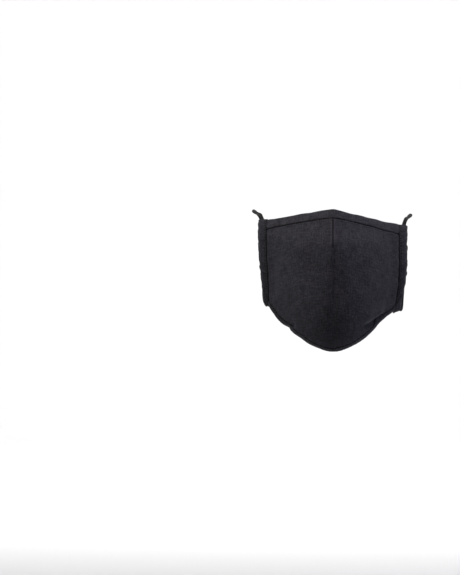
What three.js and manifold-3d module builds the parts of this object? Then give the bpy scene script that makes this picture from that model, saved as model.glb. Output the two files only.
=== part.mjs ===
// Cloth face mask in its worn form: a tented cotton cup with stitched hems, a cloth casing
// down each side, and an adjustable ear elastic with a cord lock on each side.
// Millimetres, +Z up. The wearer faces -Y, and the wearer's left is +X.
// The origin is where the mask sits on the bridge of the nose: the middle of the top edge,
// on the inner face of the cloth.
import * as THREE from "three";
import { mergeVertices } from "three/addons/utils/BufferGeometryUtils.js";
import Module from "manifold-3d";

// Cloth
const CLOTH = 1.6; // wall of the cup: two layers of cotton
const HEM_CLOTH = 2.2; // wall of a folded and stitched hem
const TOP_HEM = 10.4; // width of the top hem
const BOTTOM_HEM = 6.5; // width of the bottom hem
const GAP = 0.3; // clearance between neighbouring pieces

// Side casings
const CASING_WIDTH = 12.5; // laid flat, from the seam to its folded edge
const CASING_DEPTH = 6; // across the tunnel
const CASING_WALL = 1;
const CASING_GAP = 0.8; // between the cup's seam edge and the casing
const TUG = 3; // how far the elastic pulls each mouth of the casing back
const TUG_REACH = 0.14; // the share of its height over which it does
const MOUTH_SWELL = 0.22; // how much deeper the tunnel is at its mouths

// Ear elastics and their locks
const ELASTIC = 2.6; // diameter
const STRAND_SPACING = 3.1; // between the two strands inside a lock
const LOCK_LENGTH = 11;
const LOCK_RADIUS = 4.3;
const LOCK_HOLE = 1.75; // radius of each end of its slot
const LOCK_RIBS = 6;
const RIB_HEIGHT = 0.45;

// How finely the cloth is divided
const PANEL_COLUMNS = 38;
const PANEL_ROWS = 26;
const HEM_ROWS = 2;
const CASING_STEPS = 16;
const CASING_SIDES = 14;
const ELASTIC_STEPS = 76;

// The cup, a row for each section across the face. `down` is the share of the way from the
// top edge to the bottom edge. The crest is the line down the middle of the face, and `full`
// says how far the cheeks fill the cup out. The seams are the lines where the cup meets the
// casings; `seamY` is the same on both sides. On each side of the crest, `turn` says how
// softly the cloth turns over it, and `fall` shapes the way from crest height to seam height.
const SECTIONS = [
  { down: 0.0, crestY: -2.0, crestZ: 0.0, full: 2, seamY: 57.0, rightX: -66.0, rightZ: -8.4, rightFall: 1.0, rightTurn: 0.1, leftX: 65.8, leftZ: -13.2, leftFall: 0.85, leftTurn: 0.1 },
  { down: 0.12, crestY: -11.2, crestZ: -15.7, full: 3, seamY: 52.6, rightX: -66.6, rightZ: -18.4, rightFall: 1.1, rightTurn: 0.09, leftX: 65.8, leftZ: -23.5, leftFall: 1.0, leftTurn: 0.11 },
  { down: 0.26, crestY: -21.0, crestZ: -34.6, full: 5, seamY: 49.8, rightX: -66.7, rightZ: -30.4, rightFall: 1.2, rightTurn: 0.07, leftX: 65.9, leftZ: -35.6, leftFall: 1.2, leftTurn: 0.14 },
  { down: 0.45, crestY: -18.3, crestZ: -63.8, full: 6, seamY: 48.2, rightX: -66.1, rightZ: -47.2, rightFall: 1.3, rightTurn: 0.09, leftX: 66.2, leftZ: -52.6, leftFall: 1.3, leftTurn: 0.2 },
  { down: 0.65, crestY: -13.0, crestZ: -94.2, full: 5, seamY: 48.4, rightX: -65.3, rightZ: -64.9, rightFall: 1.5, rightTurn: 0.22, leftX: 65.6, leftZ: -70.2, leftFall: 1.45, leftTurn: 0.34 },
  { down: 0.83, crestY: -4.6, crestZ: -120.2, full: 4, seamY: 50.8, rightX: -64.5, rightZ: -81.0, rightFall: 1.62, rightTurn: 0.36, leftX: 63.6, leftZ: -86.2, leftFall: 1.55, leftTurn: 0.46 },
  { down: 0.93, crestY: 3.6, crestZ: -132.8, full: 3, seamY: 53.6, rightX: -64.3, rightZ: -89.9, rightFall: 1.7, rightTurn: 0.48, leftX: 62.2, leftZ: -94.2, leftFall: 1.6, leftTurn: 0.54 },
  { down: 1.0, crestY: 15.0, crestZ: -139.7, full: 2, seamY: 56.2, rightX: -64.2, rightZ: -96.0, rightFall: 1.76, rightTurn: 0.6, leftX: 61.2, leftZ: -100.2, leftFall: 1.68, leftTurn: 0.6 },
];

// Folds and hollows. Each lies along a line from (across, down) to (toAcross, toDown), where
// `across` is -1 at the right seam and +1 at the left seam. `height` is out of the face.
const FOLDS = [
  { name: "crease below the dart", across: 0.035, down: 0.27, toAcross: 0.04, toDown: 0.5, halfWidth: 3, height: -1.1 },
  { name: "chin fold", across: 0.03, down: 0.5, toAcross: 0.0, toDown: 0.84, halfWidth: 9, height: -1.6 },
  { name: "drag crease", across: 0.5, down: 0.925, toAcross: 0.7, toDown: 0.98, halfWidth: 3.2, height: -2.8 },
  { name: "bulge above the drag crease", across: 0.54, down: 0.84, toAcross: 0.66, toDown: 0.86, halfWidth: 7, height: 1.5 },
  { name: "tuck at the right of the chin", across: -0.7, down: 1, toAcross: -0.6, toDown: 0.91, halfWidth: 2.5, height: -1.1 },
  { name: "hollow by the right casing", across: -0.92, down: 0.25, toAcross: -0.9, toDown: 0.8, halfWidth: 5, height: -0.9 },
  { name: "hollow by the left casing", across: 0.9, down: 0.25, toAcross: 0.88, toDown: 0.75, halfWidth: 5, height: -0.8 },
];
const ACROSS_MM = 82; // length of cloth from crest to seam, used to measure the folds
const DOWN_MM = 135; // length of cloth from top edge to bottom edge, used to measure the folds

// Where the lower edge is pulled up by the drag crease, and where it hangs lower
const EDGE_SHIFTS = [
  { across: 0.78, halfWidth: 0.13, down: 1, halfDepth: 0.16, up: 3.8 },
  { across: -0.84, halfWidth: 0.1, down: 1, halfDepth: 0.14, up: -2.4 },
];

// The route of an elastic outside its casing, a row for each point: `out` from the middle of
// the face, `back` from the bridge of the nose, `up`. It runs over the ear, down behind it,
// through the lock, round the tail loop, back through the lock and forward under the ear.
const MOUTH_OUT = 72; // where the elastic leaves the casing
const LOCK_MOUTH = { out: 73.5, back: 132.5, up: -29.5 };
const LOCK_FALL = THREE.MathUtils.degToRad(20); // the lock points back and this far down
const OVER_THE_EAR = [
  { out: 72.6, back: 71.5, up: -3.4 },
  { out: 74.9, back: 81.0, up: -1.6 },
  { out: 77.8, back: 92.0, up: 0.2 },
  { out: 79.6, back: 104.0, up: 2.2 },
  { out: 79.2, back: 113.0, up: 2.6 },
  { out: 77.4, back: 121.0, up: 0.8 },
  { out: 74.9, back: 126.8, up: -3.4 },
  { out: 73.6, back: 128.8, up: -10.5 },
  { out: 73.4, back: 128.0, up: -18.0 },
  { out: 73.5, back: 128.4, up: -23.5 },
];
const UNDER_THE_EAR = [
  { out: 73.5, back: 127.5, up: -31.0 },
  { out: 73.5, back: 125.1, up: -32.5 },
  { out: 73.4, back: 121.0, up: -36.6 },
  { out: 72.8, back: 111.0, up: -48.0 },
  { out: 71.8, back: 97.5, up: -62.5 },
  { out: 70.8, back: 85.5, up: -76.0 },
  { out: 69.8, back: 78.0, up: -86.4 },
  { out: 69.4, back: 75.1, up: -90.6 },
  { out: 69.0, back: 73.0, up: -93.1 },
  { out: 68.1, back: 69.2, up: -94.4 },
];
// The tail loop, measured from the rear end of the lock: along the lock's axis, and across
// it. The last point lies at the far end, and the way back mirrors the way out.
const TAIL = [
  { along: 6, across: 1.5 },
  { along: 11, across: 2.7 },
  { along: 16.2, across: 5.2 },
  { along: 21.2, across: 6.4 },
  { along: 25.7, across: 4.55 },
];
const TAIL_END = { along: 27.6, across: 0 };

// Each side of the face: its name, its direction along X, how much higher its ear route sits
// and how much wider it spreads, and the shares of the way down where its casing starts and ends
const SIDES = [
  { name: "right", x: -1, raise: 0, spread: 1.3, top: -0.01, bottom: 1.0 },
  { name: "left", x: 1, raise: -4.5, spread: 1, top: 0.0, bottom: 1.03 },
];

const clothMaterial = (name, color) =>
  new THREE.MeshStandardMaterial({ name, color, roughness: 0.88, metalness: 0 });
const CUP_CLOTH = clothMaterial("black cotton", 0x2b2a30);
const HEM_COTTON = clothMaterial("hem cotton", 0x303036);
const CASING_COTTON = clothMaterial("casing cotton", 0x24242a);
const ELASTIC_CORD = new THREE.MeshStandardMaterial({
  name: "elastic cord", color: 0x15110e, roughness: 0.75, metalness: 0,
});
const LOCK_RUBBER = new THREE.MeshStandardMaterial({
  name: "lock rubber", color: 0x4a4340, roughness: 0.6, metalness: 0,
});

// A column of a table at `at`, with a smooth curve through the rows.
function column(rows, key, name, at) {
  const last = rows.length - 2;
  let i = 0;
  while (i < last && at > rows[i + 1][key]) i += 1;
  const slope = (a, b) => (rows[b][name] - rows[a][name]) / (rows[b][key] - rows[a][key]);
  const tangent = (k) => slope(Math.max(k - 1, 0), Math.min(k + 1, rows.length - 1));
  const span = rows[i + 1][key] - rows[i][key];
  const s = (at - rows[i][key]) / span;
  const s2 = s * s;
  const s3 = s2 * s;
  return (
    (2 * s3 - 3 * s2 + 1) * rows[i][name] +
    (s3 - 2 * s2 + s) * span * tangent(i) +
    (3 * s2 - 2 * s3) * rows[i + 1][name] +
    (s3 - s2) * span * tangent(i + 1)
  );
}

// 0 at the crest and 1 at the seam, as a power of the way across that starts off flat.
function ramp(way, power, flat) {
  const rise = (t) => (t * t + flat * flat) ** (power / 2);
  return (rise(way) - rise(0)) / (rise(1) - rise(0));
}

// How far the folds lift the cloth out of the face.
function foldHeight(across, down) {
  const here = new THREE.Vector2(across * ACROSS_MM, down * DOWN_MM);
  const start = new THREE.Vector2();
  const run = new THREE.Vector2();
  let height = 0;
  for (const fold of FOLDS) {
    start.set(fold.across * ACROSS_MM, fold.down * DOWN_MM);
    run.set(fold.toAcross * ACROSS_MM, fold.toDown * DOWN_MM).sub(start);
    const along = here.clone().sub(start).dot(run) / run.lengthSq();
    const nearest = start.clone().addScaledVector(run, THREE.MathUtils.clamp(along, 0, 1));
    height += fold.height * Math.exp(-nearest.distanceToSquared(here) / fold.halfWidth ** 2);
  }
  return height;
}

// A point on the cup's outer face before the folds.
function smoothCup(across, down) {
  const side = across < 0 ? "right" : "left";
  const value = (name) => column(SECTIONS, "down", name, down);
  const way = Math.abs(across);
  const crestY = value("crestY");
  const crestZ = value("crestZ");
  const shift = EDGE_SHIFTS.reduce(
    (total, edge) =>
      total +
      edge.up *
        Math.exp(-(((across - edge.across) / edge.halfWidth) ** 2)) *
        Math.exp(-(((down - edge.down) / edge.halfDepth) ** 2)),
    0,
  );
  return new THREE.Vector3(
    way * value(side + "X"),
    crestY +
      (value("seamY") - crestY) * ramp(way, 1, value(side + "Turn")) -
      value("full") * Math.sin(Math.PI * way) ** 2,
    crestZ + (value(side + "Z") - crestZ) * ramp(way, value(side + "Fall"), 0.04) + shift,
  );
}

// The way out of the face, square to the cloth.
function outward(across, down) {
  const step = 0.01;
  const over = smoothCup(across + step, down).sub(smoothCup(across - step, down));
  const along = smoothCup(across, down + step).sub(smoothCup(across, down - step));
  return along.cross(over).normalize();
}

// A point on the cup, `depth` under its outer face.
function cup(across, down, depth) {
  return smoothCup(across, down).addScaledVector(
    outward(across, down),
    foldHeight(across, down) - depth,
  );
}

// The length of cloth from the top edge to the bottom edge.
function columnLength(across) {
  const parts = 12;
  let length = 0;
  for (let i = 0; i < parts; i += 1)
    length += smoothCup(across, i / parts).distanceTo(smoothCup(across, (i + 1) / parts));
  return length;
}

// A closed wall between an outer and an inner face, each given as point(i, j) on a grid of
// columns x rows cells. When it wraps, the last column is the first one again.
function wall(outer, inner, columns, rows, wraps) {
  const positions = [];
  const index = [];
  const across = wraps ? columns : columns + 1;
  for (const face of [outer, inner])
    for (let j = 0; j <= rows; j += 1)
      for (let i = 0; i < across; i += 1) positions.push(...face(i, j).toArray());
  const at = (face, i, j) => face * across * (rows + 1) + j * across + (i % across);
  const quad = (a, b, c, d) => index.push(a, b, c, a, c, d);
  for (let j = 0; j < rows; j += 1)
    for (let i = 0; i < columns; i += 1) {
      quad(at(0, i, j), at(0, i, j + 1), at(0, i + 1, j + 1), at(0, i + 1, j));
      quad(at(1, i, j), at(1, i + 1, j), at(1, i + 1, j + 1), at(1, i, j + 1));
    }
  for (let i = 0; i < columns; i += 1) {
    quad(at(0, i, 0), at(0, i + 1, 0), at(1, i + 1, 0), at(1, i, 0));
    quad(at(0, i, rows), at(1, i, rows), at(1, i + 1, rows), at(0, i + 1, rows));
  }
  if (!wraps)
    for (let j = 0; j < rows; j += 1) {
      quad(at(0, 0, j), at(1, 0, j), at(1, 0, j + 1), at(0, 0, j + 1));
      quad(at(0, columns, j), at(0, columns, j + 1), at(1, columns, j + 1), at(1, columns, j));
    }
  const geometry = new THREE.BufferGeometry();
  geometry.setAttribute("position", new THREE.Float32BufferAttribute(positions, 3));
  geometry.setIndex(index);
  geometry.computeVertexNormals();
  return geometry;
}

// A strip of the cup from seam to seam, between two lines given in mm from the top edge
// (positive) or from the bottom edge (negative).
function strip(from, to, rise, depth, rows) {
  const seamGap = GAP / ACROSS_MM;
  const face = (sunk) => (i, j) => {
    const across = (1 - seamGap) * ((2 * i) / PANEL_COLUMNS - 1);
    const length = columnLength(across);
    const start = from < 0 ? 1 + from / length : from / length;
    const end = to <= 0 ? 1 + to / length : to / length;
    return cup(across, start + ((end - start) * j) / rows, sunk);
  };
  return wall(face(-rise), face(depth), PANEL_COLUMNS, rows, false);
}

// How near a casing's mouth a share of the way down is: 0 in the middle stretch, 1 at the mouth.
function nearMouth(down) {
  return Math.max(TUG_REACH - down, down - 1 + TUG_REACH, 0) / TUG_REACH;
}

// The middle of a casing and its two cross directions, at a share of the way down the seam.
// The elastic pulls each mouth back without turning it.
function casingFrame(side, down) {
  const step = 0.02;
  const inside = THREE.MathUtils.clamp(down, step, 1 - step);
  const out = smoothCup(side.x, inside).sub(smoothCup(side.x * (1 - step), inside)).normalize();
  const face = outward(side.x, inside);
  const centre = smoothCup(side.x, down)
    .addScaledVector(out, CASING_GAP + CASING_WIDTH / 2)
    .addScaledVector(face, -CLOTH / 2)
    .add(new THREE.Vector3(0, TUG * nearMouth(down) ** 2, 0));
  return { centre, out, face };
}

// A point on a casing's section, a flat oval that deepens towards the mouths.
function casingPoint(side, i, j, inset) {
  const down = side.top + ((side.bottom - side.top) * j) / CASING_STEPS;
  const { centre, out, face } = casingFrame(side, down);
  const turn = (-side.x * 2 * Math.PI * i) / CASING_SIDES;
  const squash = (value) => Math.sign(value) * Math.abs(value) ** 0.8;
  const depth = CASING_DEPTH * (1 + MOUTH_SWELL * nearMouth(down) ** 2);
  return centre
    .addScaledVector(out, squash(Math.cos(turn)) * (CASING_WIDTH / 2 - inset))
    .addScaledVector(face, squash(Math.sin(turn)) * (depth / 2 - inset));
}

function makeCasing(side) {
  const face = (inset) => (i, j) => casingPoint(side, i, j, inset);
  return wall(face(0), face(CASING_WALL), CASING_SIDES, CASING_STEPS, true);
}

// A route point on one side of the face. The spread is measured from the casing's mouth.
const onSide = (side, { out, back, up }) =>
  new THREE.Vector3(
    side.x * (MOUTH_OUT + (out - MOUTH_OUT) * side.spread),
    back,
    up + side.raise,
  );

// A point measured from the mouth of the lock, along its axis and across it.
function lockPoint(side, along, across) {
  return onSide(side, LOCK_MOUTH).add(
    new THREE.Vector3(
      0,
      along * Math.cos(LOCK_FALL) + across * Math.sin(LOCK_FALL),
      across * Math.cos(LOCK_FALL) - along * Math.sin(LOCK_FALL),
    ),
  );
}

// The whole loop of one elastic. Its two ends meet inside the casing.
function elasticRoute(side) {
  const inCasing = (downs) => downs.map((down) => casingFrame(side, down).centre);
  const half = STRAND_SPACING / 2;
  const tailPoint = ({ along, across }) => lockPoint(side, LOCK_LENGTH + along, across);
  const mirrored = ({ along, across }) => ({ along, across: -across });
  return [
    ...inCasing([0.52, 0.4, 0.28, 0.18, 0.1, 0.04, 0]),
    ...OVER_THE_EAR.map((point) => onSide(side, point)),
    lockPoint(side, -2.7, half + 0.5),
    lockPoint(side, LOCK_LENGTH * 0.25, half),
    lockPoint(side, LOCK_LENGTH, half),
    ...TAIL.map(tailPoint),
    tailPoint(TAIL_END),
    ...TAIL.map(mirrored).reverse().map(tailPoint),
    lockPoint(side, LOCK_LENGTH, -half),
    lockPoint(side, LOCK_LENGTH * 0.25, -half),
    lockPoint(side, -2.2, -half - 0.4),
    ...UNDER_THE_EAR.map((point) => onSide(side, point)),
    ...inCasing([1, 0.96, 0.9, 0.82, 0.72, 0.62, 0.535]),
  ];
}

function makeElastic(side) {
  const section = new THREE.Shape().absarc(0, 0, ELASTIC / 2, 0, 2 * Math.PI);
  return new THREE.ExtrudeGeometry(section, {
    steps: ELASTIC_STEPS,
    curveSegments: 4,
    extrudePath: new THREE.CatmullRomCurve3(elasticRoute(side), false, "centripetal"),
  });
}

// A geometry as a manifold solid, and back.
const wasm = await Module();
wasm.setup();
function toSolid(geometry) {
  const bare = geometry.clone();
  bare.deleteAttribute("normal");
  bare.deleteAttribute("uv");
  const merged = mergeVertices(bare);
  return new wasm.Manifold(
    new wasm.Mesh({
      numProp: 3,
      vertProperties: new Float32Array(merged.attributes.position.array),
      triVerts: new Uint32Array(merged.index.array),
    }),
  );
}
function fromSolid(solid) {
  const { vertProperties, triVerts } = solid.getMesh();
  const geometry = new THREE.BufferGeometry();
  geometry.setAttribute("position", new THREE.Float32BufferAttribute(vertProperties, 3));
  geometry.setIndex([...triVerts]);
  geometry.computeVertexNormals();
  return geometry;
}

// A ribbed barrel along Z with a slot for two strands, its mouth at z = 0.
function makeLock() {
  const profile = [new THREE.Vector2(0, 0), new THREE.Vector2(LOCK_RADIUS - 1, 0)];
  const pitch = LOCK_LENGTH / LOCK_RIBS;
  for (let rib = 0; rib < LOCK_RIBS; rib += 1) {
    const swell = LOCK_RADIUS - 0.5 * Math.abs((rib + 0.5) / LOCK_RIBS - 0.5);
    profile.push(new THREE.Vector2(swell - RIB_HEIGHT, pitch * (rib + 0.06)));
    profile.push(new THREE.Vector2(swell, pitch * (rib + 0.35)));
    profile.push(new THREE.Vector2(swell, pitch * (rib + 0.65)));
  }
  profile.push(new THREE.Vector2(LOCK_RADIUS - 1, LOCK_LENGTH), new THREE.Vector2(0, LOCK_LENGTH));
  const barrel = new THREE.LatheGeometry(profile, 18).rotateX(Math.PI / 2);
  const reach = STRAND_SPACING / 2;
  const slotShape = new THREE.Shape()
    .absarc(reach, 0, LOCK_HOLE, -Math.PI / 2, Math.PI / 2)
    .absarc(-reach, 0, LOCK_HOLE, Math.PI / 2, (3 * Math.PI) / 2);
  const slot = new THREE.ExtrudeGeometry(slotShape, {
    depth: LOCK_LENGTH + 2,
    bevelEnabled: false,
    curveSegments: 6,
  }).translate(0, 0, -1);
  return fromSolid(toSolid(barrel).subtract(toSolid(slot)));
}

function addPiece(group, name, geometry, material) {
  const mesh = new THREE.Mesh(geometry, material);
  mesh.name = name;
  group.add(mesh);
  return mesh;
}

const mask = new THREE.Group();
const hemRise = (HEM_CLOTH - CLOTH) / 2;
addPiece(
  mask,
  "cloth_panel",
  strip(TOP_HEM + GAP, -BOTTOM_HEM - GAP, 0, CLOTH, PANEL_ROWS),
  CUP_CLOTH,
);
addPiece(mask, "top_hem", strip(0, TOP_HEM, hemRise, CLOTH + hemRise, HEM_ROWS), HEM_COTTON);
addPiece(
  mask,
  "bottom_hem",
  strip(-BOTTOM_HEM, 0, hemRise, CLOTH + hemRise, HEM_ROWS),
  HEM_COTTON,
);
for (const side of SIDES) {
  addPiece(mask, "side_casing_" + side.name, makeCasing(side), CASING_COTTON);
  addPiece(mask, "ear_elastic_" + side.name, makeElastic(side), ELASTIC_CORD);
  const lock = addPiece(mask, "cord_lock_" + side.name, makeLock(), LOCK_RUBBER);
  lock.position.copy(onSide(side, LOCK_MOUTH));
  lock.rotation.set(-Math.PI / 2 - LOCK_FALL, 0, 0);
  lock.rotateZ(Math.PI / 2);
}

export default mask;
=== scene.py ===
# %% [markdown]
# # A cloth face mask, seen worn
#
# The real object is a cup of black plain-weave cotton. A dart at the top makes room for the
# nose, stitched hems bind the upper and lower edges, and a cloth casing runs down each side.
# Through each casing runs an elastic that goes round the ear and is drawn up by a small
# ribbed lock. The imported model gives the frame, the sizes and the space of every piece.
# This script makes the surfaces that are seen: cloth with its folds, puckers and stitches,
# braided elastic, and soft rubber.

# %% Load the frame
import math

import bmesh
import bpy
import numpy as np
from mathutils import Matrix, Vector


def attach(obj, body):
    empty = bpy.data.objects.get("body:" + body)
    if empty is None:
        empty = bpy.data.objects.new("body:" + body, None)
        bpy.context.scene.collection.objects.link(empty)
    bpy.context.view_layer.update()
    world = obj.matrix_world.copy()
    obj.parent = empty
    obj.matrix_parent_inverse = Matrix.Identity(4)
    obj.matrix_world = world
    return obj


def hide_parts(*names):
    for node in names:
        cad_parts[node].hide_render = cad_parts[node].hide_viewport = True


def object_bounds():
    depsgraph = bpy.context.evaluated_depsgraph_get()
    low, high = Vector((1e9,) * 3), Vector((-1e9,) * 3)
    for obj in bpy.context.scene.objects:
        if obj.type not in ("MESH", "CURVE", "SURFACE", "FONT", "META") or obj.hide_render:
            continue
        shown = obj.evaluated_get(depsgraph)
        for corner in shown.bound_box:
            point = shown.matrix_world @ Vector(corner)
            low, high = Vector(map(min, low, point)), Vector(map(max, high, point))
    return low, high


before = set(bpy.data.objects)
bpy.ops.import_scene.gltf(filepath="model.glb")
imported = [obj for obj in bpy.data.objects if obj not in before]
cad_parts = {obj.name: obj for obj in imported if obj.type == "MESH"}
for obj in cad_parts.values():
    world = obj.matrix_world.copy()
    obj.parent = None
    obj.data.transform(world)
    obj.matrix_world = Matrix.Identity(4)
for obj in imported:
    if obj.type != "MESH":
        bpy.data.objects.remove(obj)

cad_low, cad_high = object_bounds()
MM = 0.001
print("model box in mm:", [round(v / MM) for v in cad_high - cad_low])

# %% [markdown]
# ## The camera
#
# The mask is looked at straight from the front with a long lens, level with the middle of
# the cloth. A long lens keeps the sides of the face from shrinking away. The mask hangs
# right of the middle of the view, so the camera turns a little to the wearer's right
# instead of shifting its lens, and other views can still be centred.

# %% The camera
LENS = 120.0  # millimetres, on the usual 36 mm sensor
EYE = Vector((0.0, -1.863, -0.0764))
AIM = Vector((-0.103, 0.054, -0.0764))


def look_at(thing, place, target):
    """Puts a camera or a light at a place, with its -Z axis along the line to the target."""
    thing.location = place
    thing.rotation_euler = (Vector(target) - Vector(place)).to_track_quat("-Z", "Y").to_euler()


camera = bpy.data.objects.new("camera", bpy.data.cameras.new("camera"))
camera.data.lens = LENS
bpy.context.scene.collection.objects.link(camera)
look_at(camera, EYE, AIM)
bpy.context.scene.camera = camera
print("camera distance to the nose:", round((EYE - Vector((0, -0.02, -0.035))).length, 3), "m")

# %% [markdown]
# ## Sizes
#
# The cup is described by sections across the face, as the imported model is: a row for each
# section, from the top edge down to the bottom edge. Everything is in metres. The crest is
# the line down the middle of the face and the seams are where the cup meets the casings.

# %% Sizes of the cloth
CLOTH = 0.0016
HEM_CLOTH = 0.0022
TOP_HEM = 0.0110
BOTTOM_HEM = 0.0065
CASING_GAP = 0.0008
CASING_WIDTH = 0.0125
TUG = 0.003
TUG_REACH = 0.14
MOUTH_SWELL = 0.22

SECTION_COLUMNS = (
    "down", "crest_y", "crest_z", "full", "seam_y",
    "right_x", "right_z", "right_fall", "right_turn", "left_x", "left_z", "left_fall", "left_turn",
)
SECTION_ROWS = (
    (0.00, -0.0020, 0.0000, 0.002, 0.0570, -0.0660, -0.0084, 1.00, 0.10, 0.0658, -0.0132, 0.85, 0.10),
    (0.12, -0.0112, -0.0157, 0.003, 0.0526, -0.0666, -0.0184, 1.10, 0.09, 0.0658, -0.0235, 1.00, 0.11),
    (0.26, -0.0210, -0.0346, 0.005, 0.0498, -0.0667, -0.0304, 1.20, 0.07, 0.0659, -0.0356, 1.20, 0.14),
    (0.45, -0.0183, -0.0638, 0.006, 0.0482, -0.0661, -0.0472, 1.30, 0.09, 0.0662, -0.0526, 1.30, 0.20),
    (0.65, -0.0130, -0.0942, 0.005, 0.0484, -0.0653, -0.0649, 1.50, 0.22, 0.0656, -0.0702, 1.45, 0.34),
    (0.83, -0.0046, -0.1202, 0.004, 0.0508, -0.0645, -0.0810, 1.62, 0.36, 0.0636, -0.0862, 1.55, 0.46),
    (0.93, 0.0036, -0.1328, 0.003, 0.0536, -0.0643, -0.0899, 1.70, 0.48, 0.0622, -0.0942, 1.60, 0.54),
    (1.00, 0.0150, -0.1397, 0.002, 0.0562, -0.0642, -0.0960, 1.76, 0.60, 0.0612, -0.1002, 1.68, 0.60),
)
SECTIONS = dict(zip(SECTION_COLUMNS, np.array(SECTION_ROWS).T))

# Folds lie along a line over the cloth. `steep` and `gentle` are the half-widths on its two
# sides, the steep side being towards the wearer's right or the top. `height` is out of the face.
FOLD_COLUMNS = ("across", "down", "to_across", "to_down", "steep", "gentle", "height")
FOLD_ROWS = (
    (0.004, 0.330, -0.006, 0.62, 0.0014, 0.0075, -0.0016),  # crease below the dart
    (0.015, 0.52, 0.000, 0.86, 0.0085, 0.0100, -0.0020),  # soft fold down to the chin
    (0.525, 0.890, 0.750, 0.945, 0.0022, 0.0042, -0.0036),  # drag crease
    (0.560, 0.80, 0.700, 0.83, 0.0065, 0.0065, 0.0022),  # cloth pushed up above it
    (-0.700, 1.00, -0.600, 0.91, 0.0018, 0.0030, -0.0012),  # tuck at the right of the chin
    (-0.920, 0.25, -0.900, 0.80, 0.0050, 0.0050, -0.0009),  # hollow by the right casing
    (0.900, 0.25, 0.880, 0.75, 0.0050, 0.0050, -0.0008),  # hollow by the left casing
    (0.920, 0.12, 0.350, 0.42, 0.0050, 0.0080, 0.0005),  # drag from the left casing's top
    (0.930, 0.26, 0.480, 0.62, 0.0050, 0.0070, 0.0005),
    (-0.920, 0.12, -0.400, 0.36, 0.0060, 0.0080, 0.0004),  # drag from the right casing's top
    (-0.930, 0.85, -0.450, 0.60, 0.0060, 0.0090, 0.0004),
)
CLOTH_ACROSS = 0.082  # from crest to seam, as the folds are measured
CLOTH_DOWN = 0.135
# Where the lower edge is pulled up by the drag crease, and where it hangs lower
EDGE_SHIFTS = (
    {"across": 0.78, "half_width": 0.13, "half_depth": 0.16, "up": 0.0038},
    {"across": -0.84, "half_width": 0.10, "half_depth": 0.14, "up": -0.0024},
)

# %% [markdown]
# ## The surface of the cup
#
# One function gives the middle surface of the cloth for a place `across` (-1 at the right
# seam, +1 at the left seam) and `down` (0 at the top edge, 1 at the bottom edge). Working
# on whole arrays keeps it fast, and every cloth piece can be cut from the same surface,
# so that hems and cup always meet.

# %% Smooth curves through a table
def along_table(rows, values, at):
    """A cubic through each pair of rows, whose slope at a row is that between its neighbours."""
    slopes = np.empty_like(values)
    slopes[1:-1] = (values[2:] - values[:-2]) / (rows[2:] - rows[:-2])
    slopes[0] = (values[1] - values[0]) / (rows[1] - rows[0])
    slopes[-1] = (values[-1] - values[-2]) / (rows[-1] - rows[-2])
    i = np.clip(np.searchsorted(rows, at, side="left") - 1, 0, len(rows) - 2)
    span = rows[i + 1] - rows[i]
    s = (at - rows[i]) / span
    return (
        (2 * s**3 - 3 * s**2 + 1) * values[i]
        + (s**3 - 2 * s**2 + s) * span * slopes[i]
        + (3 * s**2 - 2 * s**3) * values[i + 1]
        + (s**3 - s**2) * span * slopes[i + 1]
    )


def section(name, down):
    """One column of the table of sections, smoothly between its rows."""
    return along_table(SECTIONS["down"], SECTIONS[name], down)


def ramp(way, power, flat):
    """0 at the crest and 1 at the seam, as a power of the way across that starts off flat."""
    rise = (way**2 + flat**2) ** (power / 2)
    foot = flat**power
    return (rise - foot) / ((1 + flat**2) ** (power / 2) - foot)


def bell(distance, width):
    """1 at no distance, falling off as a bell of that half-width."""
    return np.exp(-((distance / width) ** 2))


def soft_step(value, low, high):
    """0 below low, 1 above high, and a smooth step between them."""
    t = np.clip((value - low) / (high - low), 0, 1)
    return t * t * (3 - 2 * t)


# %% The cup before its folds
def smooth_cup(across, down):
    """Points of the outer face: x runs evenly to the seam, y falls back from the crest as a
    rounded V filled out at the cheeks, and z goes from crest height to seam height."""
    across, down = np.broadcast_arrays(np.asarray(across, float), np.asarray(down, float))
    way = np.abs(across)
    right = across < 0
    by_side = lambda name: np.where(right, section("right_" + name, down), section("left_" + name, down))
    crest_y, crest_z = section("crest_y", down), section("crest_z", down)
    y = crest_y + (section("seam_y", down) - crest_y) * ramp(way, 1, by_side("turn"))
    y = y - section("full", down) * np.sin(np.pi * way) ** 2
    lift = sum(
        edge["up"] * bell(across - edge["across"], edge["half_width"]) * bell(down - 1, edge["half_depth"])
        for edge in EDGE_SHIFTS
    )
    z = crest_z + (by_side("z") - crest_z) * ramp(way, by_side("fall"), 0.04) + lift
    return np.stack([way * by_side("x"), y, z], axis=-1)


def unit(vectors):
    """Vectors scaled to length one."""
    return vectors / np.linalg.norm(vectors, axis=-1, keepdims=True)


def outward(across, down):
    """The direction out of the face: the cross product of the ways down and across."""
    step = 0.01
    over = smooth_cup(across + step, down) - smooth_cup(across - step, down)
    along = smooth_cup(across, down + step) - smooth_cup(across, down - step)
    return unit(np.cross(along, over))


def column_length(across):
    """The length of cloth from the top edge to the bottom edge."""
    downs = np.linspace(0, 1, 25)
    points = smooth_cup(np.asarray(across)[..., None], downs)
    return np.linalg.norm(np.diff(points, axis=-2), axis=-1).sum(-1)


print("cloth down the middle and at the seams, mm:", np.round(column_length(np.array([0, -1, 1])) / MM))

# %% [markdown]
# ## Folds, puckers and the dart
#
# Cloth is never quite smooth. Large folds come from the table above. Along each line of
# stitches the cloth is drawn in, with small puckers across the line. The dart leaves a
# narrow valley between two soft ridges. All of these are heights added along the outward
# direction, in metres of cloth, so they keep their size wherever they lie.

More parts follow.
